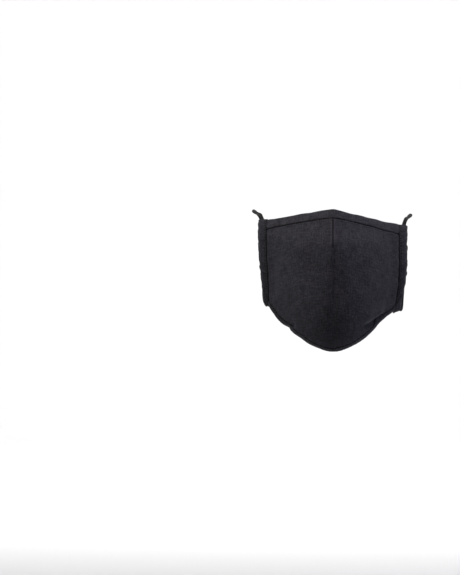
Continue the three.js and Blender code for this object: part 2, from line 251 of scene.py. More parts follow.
# %% Ripples
def ripple(place, wavelength, seed, count=4):
    """A wandering wave: a few cosines of nearly the same length with random phases."""
    random = np.random.default_rng(seed)
    total = 0
    for stretch, phase in zip(random.uniform(0.7, 1.45, count), random.uniform(0, 2 * np.pi, count)):
        total = total + np.cos(2 * np.pi * place / (wavelength * stretch) + phase)
    return total / math.sqrt(count)


def undulation(x, y, wavelength, seed, count=24):
    """A gently uneven surface: cosines of nearly the same length in random directions."""
    random = np.random.default_rng(seed)
    total = 0
    for _ in range(count):
        angle, stretch, phase = random.uniform(0, np.pi), random.uniform(0.7, 1.5), random.uniform(0, 7)
        place = x * np.cos(angle) + y * np.sin(angle)
        total = total + np.cos(2 * np.pi * place / (wavelength * stretch) + phase)
    return total / math.sqrt(count)


# %% Height of the cloth over the smooth cup
DART_END = 0.0430  # from the top edge, along the crest


def fold_height(across, down):
    """The folds of the table: a bell across each line, steeper on one side than on the other."""
    x, y = across * CLOTH_ACROSS, down * CLOTH_DOWN
    total = np.zeros(np.broadcast(x, y).shape)
    for row in FOLD_ROWS:
        fold = dict(zip(FOLD_COLUMNS, row))
        start = np.array([fold["across"] * CLOTH_ACROSS, fold["down"] * CLOTH_DOWN])
        run = np.array([fold["to_across"] * CLOTH_ACROSS, fold["to_down"] * CLOTH_DOWN]) - start
        share = np.clip(((x - start[0]) * run[0] + (y - start[1]) * run[1]) / (run @ run), 0, 1)
        off_x, off_y = x - start[0] - share * run[0], y - start[1] - share * run[1]
        beside = (off_x * run[1] - off_y * run[0]) > 0
        width = np.where(beside, fold["gentle"], fold["steep"])
        total += fold["height"] * np.exp(-(off_x**2 + off_y**2) / width**2)
    return total


def dart_height(x, top):
    """A valley 0.8 mm wide between two ridges, from the hem to the dart's end, with a small
    dimple and a short tick across where the stitching stops."""
    on = soft_step(top, TOP_HEM - 0.0015, TOP_HEM + 0.001) * (1 - soft_step(top, DART_END - 0.002, DART_END))
    near_end = soft_step(top, TOP_HEM, DART_END)
    ridge = 0.00035 * bell(np.abs(x) - 0.0017, 0.0010) * (1 + 0.3 * near_end)
    valley = -0.0016 * bell(x, 0.0006)
    dimple = -0.0007 * bell(x, 0.0018) * bell(top - DART_END - 0.001, 0.0012)
    rim = 0.0004 * bell(x, 0.0030) * bell(top - DART_END + 0.0012, 0.0010)
    return on * (ridge + valley) + dimple + rim


def cloth_height(across, down):
    """All that stands out of the smooth cup: folds, the dart, stitch grooves, puckers, unevenness."""
    length = column_length(across)
    x, top, bottom = across * CLOTH_ACROSS, down * length, (1 - down) * length
    seam = (1 - np.abs(across)) * CLOTH_ACROSS
    height = fold_height(across, down) + dart_height(x, top)
    lines = (
        # distance to the line of stitches, groove depth, pucker height, pucker length, slant, seed
        (top - TOP_HEM, 0.00080, 0.00018, 0.0062, 0.7, 3),
        (bottom - BOTTOM_HEM, 0.00070, 0.00020, 0.0052, 0.5, 4),
    )
    for off, depth, pucker, wavelength, slant, seed in lines:
        height = height - depth * bell(off, 0.0007) + 0.3 * depth * bell(off - 0.0017, 0.0008)
        height = height + pucker * ripple(x * 1.15 + slant * off, wavelength, seed) * bell(off, 0.0048)
    seam_puckers = 0.00018 * ripple(top + 0.5 * seam * np.sign(across), 0.0085, 5) * bell(seam, 0.006)
    height = height - 0.0007 * bell(seam, 0.0009) + seam_puckers - 0.0009 * soft_step(-seam, 0, 0.0008)
    hem_puff = np.where(top < TOP_HEM, np.sin(np.pi * np.clip(top / TOP_HEM, 0, 1)), 0) * 0.00045
    hem_puff = hem_puff + np.where(bottom < BOTTOM_HEM, 0.0004 * np.sin(np.pi * bottom / BOTTOM_HEM), 0)
    uneven = 0.00019 * undulation(x, top, 0.021, 11) + 0.00004 * undulation(x, top, 0.007, 12)
    return height + hem_puff + uneven


def painted_shade_mark(across, down):
    """Painted shade: 1 at the bottom of the grooves that the stitching pulls in and down the dart's
    valley, and 0 away from them, with a faint painted shade on the cloth in front of the mouth and chin."""
    length = column_length(across)
    x, top, bottom = across * CLOTH_ACROSS, down * length, (1 - down) * length
    seam = (1 - np.abs(across)) * CLOTH_ACROSS
    # painted shade down the dart's valley
    dart = 1.6 * bell(x, 0.0007) * soft_step(top, TOP_HEM - 0.001, TOP_HEM)
    dart = dart * (1 - soft_step(top, DART_END - 0.001, DART_END))
    # painted shade on the cloth in front of the mouth and chin, stronger towards the bottom
    painted_chin_shade = 0.20 * bell(x, 0.022) * soft_step(down, 0.45, 0.80)
    # painted shade along the stitch grooves of the hems and the seams
    marks = [bell(top - TOP_HEM, 0.0008), bell(bottom - BOTTOM_HEM, 0.0008), bell(seam, 0.0010), dart]
    return np.clip(1.2 * sum(marks) + painted_chin_shade, 0, 1)


def cloth_point(across, down, sink):
    """A point of the real cloth, `sink` metres under its outer face."""
    height = cloth_height(across, down) - sink
    return smooth_cup(across, down) + height[..., None] * outward(across, down)


# %% [markdown]
# ## From grids to meshes
#
# Each piece is a grid of points, or two grids with rims between them for a wall. The helpers
# below number the faces for a whole grid at once, turn them outwards when the enclosed
# volume comes out negative, and keep a map of the cloth in metres for the weave to follow.

# %% Grid helpers
def grid_faces(rows, columns, wrap_rows=False, wrap_columns=False):
    """The four-cornered faces of a grid of points that is stored row by row."""
    r = np.arange(rows if wrap_rows else rows - 1)[:, None]
    c = np.arange(columns if wrap_columns else columns - 1)[None, :]
    corner = lambda i, j: (i % rows) * columns + (j % columns)
    corners = [corner(r, c), corner(r, c + 1), corner(r + 1, c + 1), corner(r + 1, c)]
    return np.stack(corners, -1).reshape(-1, 4)


def wall_faces(rows, columns, tube):
    """An outer grid, an inner grid turned round, and the rims that join them."""
    outer = grid_faces(rows, columns, wrap_columns=tube)
    count = rows * columns
    index = np.arange(count).reshape(rows, columns)
    if tube:
        loops = [np.append(index[0], index[0, 0]), np.append(index[-1, 0], index[-1, ::-1])]
    else:
        loops = [np.concatenate([index[0], index[1:, -1], index[-1, -2::-1], index[-2::-1, 0]])]
    rims = [np.stack([l[1:], l[:-1], l[:-1] + count, l[1:] + count], -1) for l in loops]
    return np.concatenate([outer, outer[:, ::-1] + count, *rims])


def signed_volume(points, faces):
    """The volume inside closed faces, negative when they face inwards."""
    a, b, c, d = (points[faces[:, k]] for k in range(4))
    return (np.einsum("ij,ij->i", a, np.cross(b, c)) + np.einsum("ij,ij->i", a, np.cross(c, d))).sum() / 6


def make_piece(name, points, faces, cloth_map, wear_and_shade=None, painted_shade=None, merge=False):
    """One closed, smooth-shaded mesh object with its map, an attribute of wear on the cloth and of painted
    shade on the locks, and an attribute of painted shade in the grooves.
    """
    points, cloth_map = points.reshape(-1, 3), cloth_map.reshape(-1, 2)
    if signed_volume(points, faces) < 0:
        faces = faces[:, ::-1]
    mesh = bpy.data.meshes.new(name)
    mesh.from_pydata(points.tolist(), [], faces.tolist())
    layer = mesh.uv_layers.new(name="cloth")
    layer.data.foreach_set("uv", cloth_map[faces.ravel()].astype(np.float32).ravel())
    for kind, marks in (("wear_and_shade", wear_and_shade), ("painted_shade", painted_shade)):
        if marks is not None:
            values = mesh.attributes.new(kind, "FLOAT", "POINT").data
            values.foreach_set("value", marks.astype(np.float32).ravel())
    mesh.polygons.foreach_set("use_smooth", np.ones(len(faces), bool))
    if merge:
        work = bmesh.new()
        work.from_mesh(mesh)
        bmesh.ops.remove_doubles(work, verts=work.verts, dist=1e-7)
        work.to_mesh(mesh)
        work.free()
    mesh.update()
    piece = bpy.data.objects.new(name, mesh)
    bpy.context.scene.collection.objects.link(piece)
    print(f"{name}: {len(mesh.polygons)} faces")
    return piece


# %% [markdown]
# ## Shader maths as Python
#
# A finish is a small network of nodes. One class wraps a number socket, so that sums and
# products read as Python and add their own nodes. Another holds the material, with one
# method that makes any node from its type, its settings and its inputs.

# %% Shader helpers
class Number:
    """A number socket that can be added, multiplied and compared like a Python number."""

    def __init__(self, finish, socket):
        self.finish, self.socket = finish, socket

    def maths(self, operation, first, second=0.0):
        node = self.finish.node("ShaderNodeMath", {"operation": operation}, {0: first, 1: second})
        return Number(self.finish, node.outputs[0])

    def __add__(self, other): return self.maths("ADD", self, other)
    def __radd__(self, other): return self.maths("ADD", other, self)
    def __sub__(self, other): return self.maths("SUBTRACT", self, other)
    def __rsub__(self, other): return self.maths("SUBTRACT", other, self)
    def __mul__(self, other): return self.maths("MULTIPLY", self, other)
    def __rmul__(self, other): return self.maths("MULTIPLY", other, self)
    def __truediv__(self, other): return self.maths("DIVIDE", self, other)
    def sine(self): return self.maths("SINE", self)
    def size(self): return self.maths("ABSOLUTE", self)
    def power(self, other): return self.maths("POWER", self, other)


class Finish:
    """A material with a Principled shader, made node by node."""

    def __init__(self, name, **constants):
        self.material = bpy.data.materials.new(name)
        self.material.use_nodes = True
        self.tree = self.material.node_tree
        self.shader = self.tree.nodes["Principled BSDF"]
        for socket, value in constants.items():
            self.shader.inputs[socket.replace("_", " ")].default_value = value

    def node(self, kind, settings=None, inputs=None):
        """Any node: its settings are set first, then its sockets are given values or links."""
        node = self.tree.nodes.new(kind)
        for key, value in (settings or {}).items():
            setattr(node, key, value)
        for key, value in (inputs or {}).items():
            socket = node.inputs[key]
            if isinstance(value, Number):
                value = value.socket
            if isinstance(value, bpy.types.NodeSocket):
                self.tree.links.new(value, socket)
            else:
                socket.default_value = value
        return node

    def cloth_map(self):
        """The piece's map in metres, as two numbers."""
        uv = self.node("ShaderNodeUVMap", {"uv_map": "cloth"})
        parts = self.node("ShaderNodeSeparateXYZ", inputs={0: uv.outputs[0]})
        return Number(self, parts.outputs[0]), Number(self, parts.outputs[1])

    def noise(self, x, y, scale, detail=3.0):
        """Soft noise around 0, over a pair of numbers."""
        place = self.node("ShaderNodeCombineXYZ", inputs={0: x, 1: y})
        inputs = {"Vector": place.outputs[0], "Scale": scale, "Detail": detail}
        field = self.node("ShaderNodeTexNoise", inputs=inputs)
        return Number(self, field.outputs[0]) - 0.5

    def attribute(self, name):
        """A number stored on the mesh."""
        return Number(self, self.node("ShaderNodeAttribute", {"attribute_name": name}).outputs[2])

    def blend(self, share, first, second):
        """From the first colour to the second by a share."""
        mix = self.node("ShaderNodeMix", {"data_type": "RGBA"}, {0: share, 6: first, 7: second})
        return mix.outputs[2]

    def wire(self, socket, value):
        """Feeds one socket of the shader."""
        self.tree.links.new(value.socket if isinstance(value, Number) else value, self.shader.inputs[socket])

    def relief(self, height, depth, strength=1.0):
        """A bump of that depth in metres, into the normal."""
        bump = self.node("ShaderNodeBump", inputs={"Height": height, "Distance": depth, "Strength": strength})
        self.wire("Normal", bump.outputs[0])


# %% [markdown]
# ## Black cotton
#
# Plain weave is warp and weft passing over and under each other, about 22 threads to the
# centimetre. The product of two sine waves gives its bumps. Yarn is uneven, so stretched
# noise makes single threads thicker or paler, and broad noise makes the dye slightly
# cloudy. Edges and folds rub pale first, which the wear attribute marks. The stitch grooves,
# the dart and the cloth in front of the mouth and chin are darkened as painted shade. Cotton
# has a soft bloom at grazing angles, so the shader has a little sheen and hardly any gloss.

# %% The cotton finishes
THREAD = 0.00046  # from one thread to the next


def cotton(name, dark, pale, rubbed):
    """Plain-weave cotton between a dark and a pale shade, with rubbed edges and painted shade in its grooves.
    """
    finish = Finish(
        name, Specular_IOR_Level=0.10, Sheen_Weight=0.07, Sheen_Roughness=0.5,
        Sheen_Tint=(0.8, 0.8, 0.95, 1.0),
    )
    x, y = finish.cloth_map()
    turn = math.pi / THREAD
    weave = (x * turn).sine() * (y * turn).sine()
    warp = finish.noise(x * (1 / THREAD), y * 90.0, 1.0, 2.0)
    weft = finish.noise(x * 90.0, y * (1 / THREAD), 1.0, 2.0)
    clouds = finish.noise(x, y, 95.0, 4.0)
    broad = finish.noise(x, y, 28.0, 2.0)
    lint = finish.noise(x, y, 620.0, 3.0)
    slubs = finish.noise(x * 640.0, y * 130.0, 1.0, 2.0) + finish.noise(x * 130.0, y * 640.0, 1.0, 2.0)
    share = 0.45 + weave * 0.22 + (warp + weft) * 1.0 + clouds * 0.9 + broad * 0.45 + lint * 1.9 + slubs * 1.3
    shade = finish.blend(share, dark, pale)
    wear_and_shade = finish.attribute("wear_and_shade") * (0.75 + clouds * 1.6)
    worn = finish.blend(wear_and_shade, shade, rubbed)
    # painted shade: the base colour falls nearly to black in the grooves, down the dart and before the chin
    painted_shade = finish.attribute("painted_shade") * 1.1
    finish.wire("Base Color", finish.blend(painted_shade, worn, tuple(0.16 * part for part in dark[:3]) + (1,)))
    finish.wire("Roughness", 0.88 + clouds * 0.14 - weave * 0.03)
    finish.relief(weave * 0.5 + (warp + weft) * 0.7 + lint * 0.5, 0.00009, 0.8)
    return finish.material


CUP_COTTON = cotton(
    "cup_cotton", dark=(0.0125, 0.0118, 0.0150, 1), pale=(0.0360, 0.0340, 0.0415, 1),
    rubbed=(0.055, 0.052, 0.062, 1),
)
HEM_COTTON = cotton(
    "hem_cotton", dark=(0.0145, 0.0138, 0.0170, 1), pale=(0.0400, 0.0380, 0.0450, 1),
    rubbed=(0.065, 0.062, 0.072, 1),
)
CASING_COTTON = cotton(
    "casing_cotton", dark=(0.0100, 0.0095, 0.0120, 1), pale=(0.0310, 0.0295, 0.0355, 1),
    rubbed=(0.050, 0.047, 0.055, 1),
)

# %% [markdown]
# ## Thread, elastic and rubber
#
# Sewing thread is two plies twisted together and slightly shiny. The elastic is a flat
# braid: pale and dark diamonds run round it, and the cord's own map goes once round and
# then along it in metres. The lock is a soft dark rubber, speckled and a little dusty, with
# painted shade in the grooves between its ribs.

# %% The other finishes
def thread_finish():
    """Black sewing thread with a fine twist along it."""
    finish = Finish("sewing_thread", Roughness=0.5, Specular_IOR_Level=0.35, Sheen_Weight=0.1)
    around, along = finish.cloth_map()
    twist = (around * (2 * math.pi) + along * (2 * math.pi / 0.0006)).sine()
    dark, pale = (0.004, 0.004, 0.005, 1), (0.012, 0.012, 0.014, 1)
    finish.wire("Base Color", finish.blend(0.5 + twist * 0.5, dark, pale))
    finish.relief(twist, 0.00004, 0.6)
    return finish.material


def elastic_finish():
    """Flat braid: strands cross both ways round the cord, with a fine rib along them."""
    finish = Finish("elastic_braid", Specular_IOR_Level=0.25, Sheen_Weight=0.05, Sheen_Roughness=0.5)
    around, along = finish.cloth_map()
    strands, pitch = 8, 0.0034
    left = (around * (2 * math.pi * strands) + along * (2 * math.pi / pitch * 2)).sine()
    right = (around * (2 * math.pi * strands) - along * (2 * math.pi / pitch * 2)).sine()
    braid = left * right
    dust = finish.noise(around * 0.01, along, 400.0, 3.0)
    share = 0.4 + braid * 0.35 + dust * 0.6
    finish.wire("Base Color", finish.blend(share, (0.0020, 0.0015, 0.0013, 1), (0.0090, 0.0072, 0.0060, 1)))
    finish.wire("Roughness", 0.7 + dust * 0.2 - braid * 0.06)
    finish.relief(braid, 0.00016, 0.8)
    return finish.material


def rubber_finish():
    """Soft moulded rubber: nearly even, with fine speckle and cloudy tone, and painted shade that leaves the
    grooves between the ribs darker than the crests.
    """
    finish = Finish("lock_rubber", Specular_IOR_Level=0.35)
    place = finish.node("ShaderNodeTexCoord").outputs["Object"]
    fine = finish.node("ShaderNodeTexNoise", inputs={"Vector": place, "Scale": 1600.0, "Detail": 3.0})
    broad = finish.node("ShaderNodeTexNoise", inputs={"Vector": place, "Scale": 260.0, "Detail": 2.0})
    speckle, cloud = Number(finish, fine.outputs[0]), Number(finish, broad.outputs[0])
    # painted shade: the rib crests are paler than the grooves between them
    share = speckle * 0.7 + cloud * 0.5 + finish.attribute("wear_and_shade") * 0.5 - 0.25
    finish.wire("Base Color", finish.blend(share, (0.030, 0.025, 0.022, 1), (0.098, 0.086, 0.078, 1)))
    finish.wire("Roughness", 0.48 + cloud * 0.25)
    finish.relief(speckle, 0.00006, 0.5)
    return finish.material


SEWING_THREAD = thread_finish()
ELASTIC_BRAID = elastic_finish()
LOCK_RUBBER = rubber_finish()


def dress(piece, material, replaces=()):
    """Gives a piece its finish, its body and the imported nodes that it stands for."""
    piece.data.materials.append(material)
    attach(piece, "root")
    if replaces:
        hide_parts(*replaces)
    return piece


# %% [markdown]
# ## The cup
#
# The cup could be a flat sheet draped by simulation, but a worn mask is shaped by sewing and
# by the face behind it, so its form is worked out directly. The grid is finer at the crest,
# where the dart is, and next to the stitched edges. Inside, a second surface lies one cloth
# thickness below, with the dart's intake standing proud of it.

# %% Build the cup
CUP_COLUMNS, CUP_ROWS = 271, 161
SEAM_TUCK = 0.012  # how far the cup runs on under each casing, as a share of the way across


def dense_at_crest(count, reach):
    """Places from -reach to +reach whose spacing halves towards 0."""
    t = np.linspace(-1, 1, count)
    return reach * (0.5 * t + 0.5 * t**3)


def dense_at_ends(count):
    """Places from 0 to 1 whose spacing is a third at both ends."""
    t = np.linspace(0, 1, count)
    return t - np.sin(2 * np.pi * t) * 0.66 / (2 * np.pi)


def cloth_region(across, start, end, shares):
    """The grid of `down` values between two distances from the edges, given for each column."""
    return start[None, :] + (end - start)[None, :] * shares[:, None]


def cloth_wall(across, down, outer_sink, inner_sink):
    """The outer and inner points of a piece of cloth, and its map in metres."""
    across = np.broadcast_to(across, down.shape)
    points = np.stack([cloth_point(across, down, outer_sink), cloth_point(across, down, inner_sink)])
    cloth_map = np.stack([across * 0.09, down * column_length(across)], axis=-1)
    return points, np.stack([cloth_map, cloth_map])


def build_cup():
    across = dense_at_crest(CUP_COLUMNS, 1 + SEAM_TUCK)
    length = column_length(across)
    down = cloth_region(across, TOP_HEM / length, 1 - BOTTOM_HEM / length, dense_at_ends(CUP_ROWS))
    top = down * length
    intake = 0.0009 * bell(across * CLOTH_ACROSS, 0.0016) * (1 - soft_step(top, DART_END - 0.004, DART_END))
    points, cloth_map = cloth_wall(across, down, np.zeros_like(down), CLOTH + intake)
    beside_dart = bell(np.abs(across * CLOTH_ACROSS) - 0.0018, 0.0008)
    wear_and_shade = 0.25 * bell(top - TOP_HEM, 0.0012) + 0.35 * beside_dart * (
        1 - soft_step(top, DART_END - 0.001, DART_END + 0.001)
    )
    # painted shade in the stitch grooves, down the dart and in front of the mouth and chin
    painted_shade = painted_shade_mark(np.broadcast_to(across, down.shape), down)
    return make_piece(
        "cup_cloth", points, wall_faces(CUP_ROWS, CUP_COLUMNS, tube=False), cloth_map,
        np.stack([wear_and_shade, wear_and_shade * 0]), np.stack([painted_shade, painted_shade * 0]),
    )


cup = dress(build_cup(), CUP_COTTON, ["cloth_panel"])

# %% [markdown]
# ## The hems
#
# A hem is the cloth folded over and stitched down, so it is thicker than the cup and its
# edge is round. The band is cut from the same surface: near the edge the outer and inner
# faces sink towards each other along a quarter circle, which rolls the edge over.

# %% Build the hems
HEM_COLUMNS, HEM_ROWS = 361, 25


def build_hem(name, width, at_top, waver, seed):
    """A band from the line of stitches to the folded edge."""
    across = dense_at_crest(HEM_COLUMNS, 1 + SEAM_TUCK)
    length = column_length(across)
    share = np.linspace(0, 1, HEM_ROWS)
    off_edge = width * (1 - share**0.75)[:, None] + 0.00003 + 0 * across[None, :]
    round_off = np.clip(1 - off_edge / (HEM_CLOTH / 2), 0, 1)
    sink = HEM_CLOTH / 2 * (1 - np.sqrt(1 - round_off**2 * 0.999))
    place = across[None, :] * CLOTH_ACROSS
    shift = waver * ripple(place, 0.03, seed) * bell(off_edge, width)
    down = (off_edge + shift) / length if at_top else 1 - (off_edge + shift) / length
    points, cloth_map = cloth_wall(across, down, sink, HEM_CLOTH - sink)
    wear_and_shade = 0.45 * bell(off_edge, 0.0012) + 0.2 * bell(off_edge - width + 0.0012, 0.0008)
    # painted shade in the stitch grooves and, on the bottom hem, in front of the chin
    painted_shade = painted_shade_mark(np.broadcast_to(across, down.shape), down)
    return make_piece(
        name, points, wall_faces(HEM_ROWS, HEM_COLUMNS, tube=False), cloth_map,
        np.stack([wear_and_shade, wear_and_shade]), np.stack([painted_shade, painted_shade * 0]),
    )


top_hem = dress(build_hem("top_hem_band", TOP_HEM, True, 0.00035, 21), HEM_COTTON, ["top_hem"])
bottom_hem = dress(
    build_hem("bottom_hem_band", BOTTOM_HEM, False, 0.0003, 22), HEM_COTTON, ["bottom_hem"]
)

# %% [markdown]
# ## The side casings
#
# Each casing is the cloth's side edge folded over and stitched, which leaves a flat tunnel
# for the elastic. It is thin at the stitches, round over the elastic, and gathered into
# puckers by its pull. The elastic also draws both mouths back towards the ear. The wall is
# a tube of sections along the seam, with the open tunnel inside.

# %% Build the casings
SIDES = {
    "right": {"x": -1, "raise": 0.0, "spread": 1.3, "top": -0.01, "bottom": 1.0, "seed": 31},
    "left": {"x": 1, "raise": -0.0045, "spread": 1.0, "top": 0.0, "bottom": 1.03, "seed": 41},
}
CASING_ROWS, CASING_AROUND = 241, 96
CASING_STITCH = 0.0019  # from the seam to the second row of stitches


def near_mouth(down):
    """0 in the middle stretch of a casing and 1 at its mouths."""
    return np.maximum(np.maximum(TUG_REACH - down, down - 1 + TUG_REACH), 0) / TUG_REACH


def casing_frame(side, down):
    """The middle line of a casing, the way out to its fold, and the way out of the face."""
    step = 0.02
    down = np.asarray(down, float)
    inside = np.clip(down, step, 1 - step)
    out = unit(smooth_cup(side["x"], inside) - smooth_cup(side["x"] * (1 - step), inside))
    face = outward(side["x"], inside)
    centre = smooth_cup(side["x"], down) + out * (CASING_GAP + CASING_WIDTH / 2) - face * CLOTH / 2
    pull = np.stack([0 * down, TUG * near_mouth(down) ** 2, 0 * down], axis=-1)
    return centre + pull, out, face


def casing_surface(side, down, place, front, wall):
    """One face of the casing, `place` running from -1 at the seam to 1 at the fold: flat by the
    stitches, bulging over the elastic as a bell, rounded at the fold, and puckered."""
    centre, out, face = (v[:, None, :] for v in casing_frame(side, down))
    place, front = place[None, :] + 0 * down[:, None], front[None, :] + 0 * down[:, None]
    run = down[:, None] * 0.088 + 0 * place
    mouth = near_mouth(down)[:, None]
    stitched = (place + 1) * CASING_WIDTH / 2
    slanted = run + 0.0022 * place * front
    puckers = 0.00026 * ripple(slanted, 0.0092, side["seed"])
    puckers = puckers + 0.00010 * ripple(slanted, 0.0040, side["seed"] + 1)
    bulge = (0.00135 + 0.0005 * mouth**2) * bell(place - 0.05, 0.55)
    thick = CLOTH / 2 + 0.0001 + bulge + puckers * soft_step(stitched, 0.0003, 0.004)
    thick = thick - 0.0006 * bell(stitched, 0.0008) - 0.0005 * bell(stitched - CASING_STITCH, 0.0005)
    fold = np.clip((place - 0.8) / 0.2, 0, 1)
    thick = thick * np.sqrt(np.clip(1 - fold**2, 0, 1))
    reach = np.where(place < 0, CASING_WIDTH / 2 + CASING_GAP, CASING_WIDTH / 2)
    reach = reach + 0.00030 * ripple(run, 0.0115, side["seed"] + 3) * soft_step(place, 0, 1)
    reach = reach - wall
    height = front * np.maximum(thick - wall, 0.0001)
    points = centre + (place * reach)[..., None] * out + height[..., None] * face
    cloth_map = np.stack([run, place * reach + 0.02 * (front < 0)], axis=-1)
    wear_and_shade = 0.4 * bell(place - 1, 0.10) + 0.25 * mouth**6
    # painted shade along the two rows of stitches
    painted_shade = np.clip(bell(stitched, 0.0010) + bell(stitched - CASING_STITCH, 0.0005), 0, 1)
    return points, cloth_map, wear_and_shade + 0 * run, painted_shade


def build_casing(name, side):
    down = np.linspace(side["top"], side["bottom"], CASING_ROWS)
    half = np.cos(np.linspace(0, np.pi, CASING_AROUND // 2))
    place = np.concatenate([half, half[-1:0:-1]])
    front = np.concatenate([np.ones(len(half)), -np.ones(len(half) - 1)])
    layers = [casing_surface(side, down, place, front, wall) for wall in (0.0, 0.0007)]
    points, cloth_map, wear_and_shade, painted_shade = (np.stack(parts) for parts in zip(*layers))
    faces = wall_faces(CASING_ROWS, len(place), tube=True)
    return make_piece(name, points, faces, cloth_map, wear_and_shade, painted_shade)


casings = {
    name: dress(
        build_casing(f"casing_cloth_{name}", side), CASING_COTTON, [f"side_casing_{name}"]
    )
    for name, side in SIDES.items()
}

# %% [markdown]
# ## Stitches
#
# A machine stitch shows as a row of short thread arcs that sink into the cloth at both
# ends. All stitches of a line are made at once: a small tube is bent into an arc, repeated
# at even steps along the line, and joined into one mesh.

# %% Stitch lines
STITCH, STITCH_STEP, THREAD_RADIUS = 0.0021, 0.0026, 0.00021
STITCH_RINGS, STITCH_SIDES = 7, 6


def even_points(points, step):
    """Points at even steps along a line, with the length of each step kept near the one asked."""
    lengths = np.append(0, np.cumsum(np.linalg.norm(np.diff(points, axis=0), axis=1)))
    count = max(int(round(lengths[-1] / step)), 1)
    places = (np.arange(count) + 0.5) * lengths[-1] / count
    return places, lengths


def at_places(values, lengths, places):
    """Values along a line, looked up at places along its length."""
    return np.stack([np.interp(places, lengths, values[:, k]) for k in range(values.shape[1])], -1)


def build_stitches(name, line, normals):
    """Arcs of thread along a line that lies on the cloth: each rises out of it as half a
    sine wave and thins to a point at both ends."""
    places, lengths = even_points(line, STITCH_STEP)
    offsets = np.linspace(-STITCH / 2, STITCH / 2, STITCH_RINGS)
    along = np.clip(places[:, None] + offsets[None, :], 0, lengths[-1])
    centres = at_places(line, lengths, along.ravel()).reshape(*along.shape, 3)
    up = unit(at_places(normals, lengths, along.ravel())).reshape(*along.shape, 3)
    ahead = unit(np.gradient(centres, axis=1) + 1e-12)
    aside = unit(np.cross(ahead, up))
    arch = np.cos(np.pi * offsets / STITCH)[None, :, None]
    centres = centres + up * (THREAD_RADIUS * (1.5 * arch - 0.7))
    radius = THREAD_RADIUS * np.sqrt(np.clip(1 - (2 * offsets / STITCH) ** 4, 0, 1))[None, :, None, None]
    angle = np.linspace(0, 2 * np.pi, STITCH_SIDES, endpoint=False)[None, None, :, None]
    rim = np.cos(angle) * up[:, :, None, :] + np.sin(angle) * aside[:, :, None, :]
    points = centres[:, :, None, :] + radius * rim
    one = grid_faces(STITCH_RINGS, STITCH_SIDES, wrap_columns=True)
    shift = np.arange(len(places))[:, None, None] * STITCH_RINGS * STITCH_SIDES
    cloth_map = np.stack(
        [angle[..., 0] / (2 * np.pi) + 0 * points[..., 0], along[:, :, None] + 0 * points[..., 0]], axis=-1
    )
    return make_piece(name, points, (one[None] + shift).reshape(-1, 4), cloth_map, merge=True)


def hem_line(off_edge, at_top):
    """The line of stitches of a hem, on the cloth, with the outward direction along it."""
    across = np.linspace(-0.995, 0.995, 241)
    share = off_edge / column_length(across)
    down = share if at_top else 1 - share
    return cloth_point(across, down, np.zeros_like(down)), outward(across, down)


def casing_line(side, from_front):
    """The line of stitches of a casing, on its front or its back."""
    down = np.linspace(side["top"] + 0.008, side["bottom"] - 0.008, 161)
    place = np.array([2 * CASING_STITCH / CASING_WIDTH - 1])
    front = np.array([1.0 if from_front else -1.0])
    points = casing_surface(side, down, place, front, 0.0)[0][:, 0]
    return points, casing_frame(side, down)[2] * front


stitches = [
    build_stitches("stitches_top_hem", *hem_line(TOP_HEM + 0.00015, True)),
    build_stitches("stitches_bottom_hem", *hem_line(BOTTOM_HEM + 0.00015, False)),
]
for name, side in SIDES.items():
    for from_front in (True, False):
        where = "front" if from_front else "back"
        stitches.append(build_stitches(f"stitches_casing_{name}_{where}", *casing_line(side, from_front)))
for piece in stitches:
    dress(piece, SEWING_THREAD)

# %% [markdown]
# ## The ear elastics
#
# Each elastic is one closed loop of its real length. It starts inside its casing, leaves by
# the top mouth, goes over the ear and down behind it, through the lock, round the tail loop,
# back through the lock, and forward under the ear to the bottom mouth. The route is a short
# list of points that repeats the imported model's. A smooth curve through them carries a flat
# oval section that slowly turns, as a braid does.

# %% The route of an elastic
MOUTH_OUT = 0.072  # where the elastic leaves the casing
LOCK_MOUTH = (0.0735, 0.1325, -0.0295)
LOCK_FALL = math.radians(20)
LOCK_LENGTH = 0.011
STRAND_SPACING = 0.0031
OVER_THE_EAR = (
    (0.0726, 0.0715, -0.0034),
    (0.0749, 0.0810, -0.0016),
    (0.0778, 0.0920, 0.0002),
    (0.0796, 0.1040, 0.0022),
    (0.0792, 0.1130, 0.0026),
    (0.0774, 0.1210, 0.0008),
    (0.0749, 0.1268, -0.0034),
    (0.0736, 0.1288, -0.0105),
    (0.0734, 0.1280, -0.0180),
    (0.0735, 0.1284, -0.0235),
)
UNDER_THE_EAR = (
    (0.0735, 0.1275, -0.0310),
    (0.0735, 0.1251, -0.0325),
    (0.0734, 0.1210, -0.0366),
    (0.0728, 0.1110, -0.0480),
    (0.0718, 0.0975, -0.0625),
    (0.0708, 0.0855, -0.0760),
    (0.0698, 0.0780, -0.0864),
    (0.0694, 0.0751, -0.0906),
    (0.0690, 0.0730, -0.0931),
    (0.0681, 0.0692, -0.0944),
)
# The tail loop, from the rear end of the lock: along its axis, and across it
TAIL = ((0.006, 0.0015), (0.011, 0.0027), (0.0162, 0.0052), (0.0212, 0.0064), (0.0257, 0.00455))
TAIL_END = (0.0276, 0.0)
IN_CASING_TOP = (0.52, 0.40, 0.28, 0.18, 0.10, 0.04, 0.0)
IN_CASING_BOTTOM = (1.0, 0.96, 0.90, 0.82, 0.72, 0.62, 0.535)


def on_side(side, points):
    """Route points on one side of the face, from outward, backward and upward distances. The
    spread widens what lies outside the casing's mouth."""
    out, back, up = np.atleast_2d(points).T
    out = MOUTH_OUT + (out - MOUTH_OUT) * side["spread"]
    return np.stack([side["x"] * out, back, up + side["raise"]], axis=-1)


def lock_points(side, points):
    """Points measured from the mouth of the lock, along its axis and across it."""
    along, across = np.atleast_2d(points).T
    back = along * math.cos(LOCK_FALL) + across * math.sin(LOCK_FALL)
    up = across * math.cos(LOCK_FALL) - along * math.sin(LOCK_FALL)
    return on_side(side, LOCK_MOUTH) + np.stack([0 * back, back, up], axis=-1)


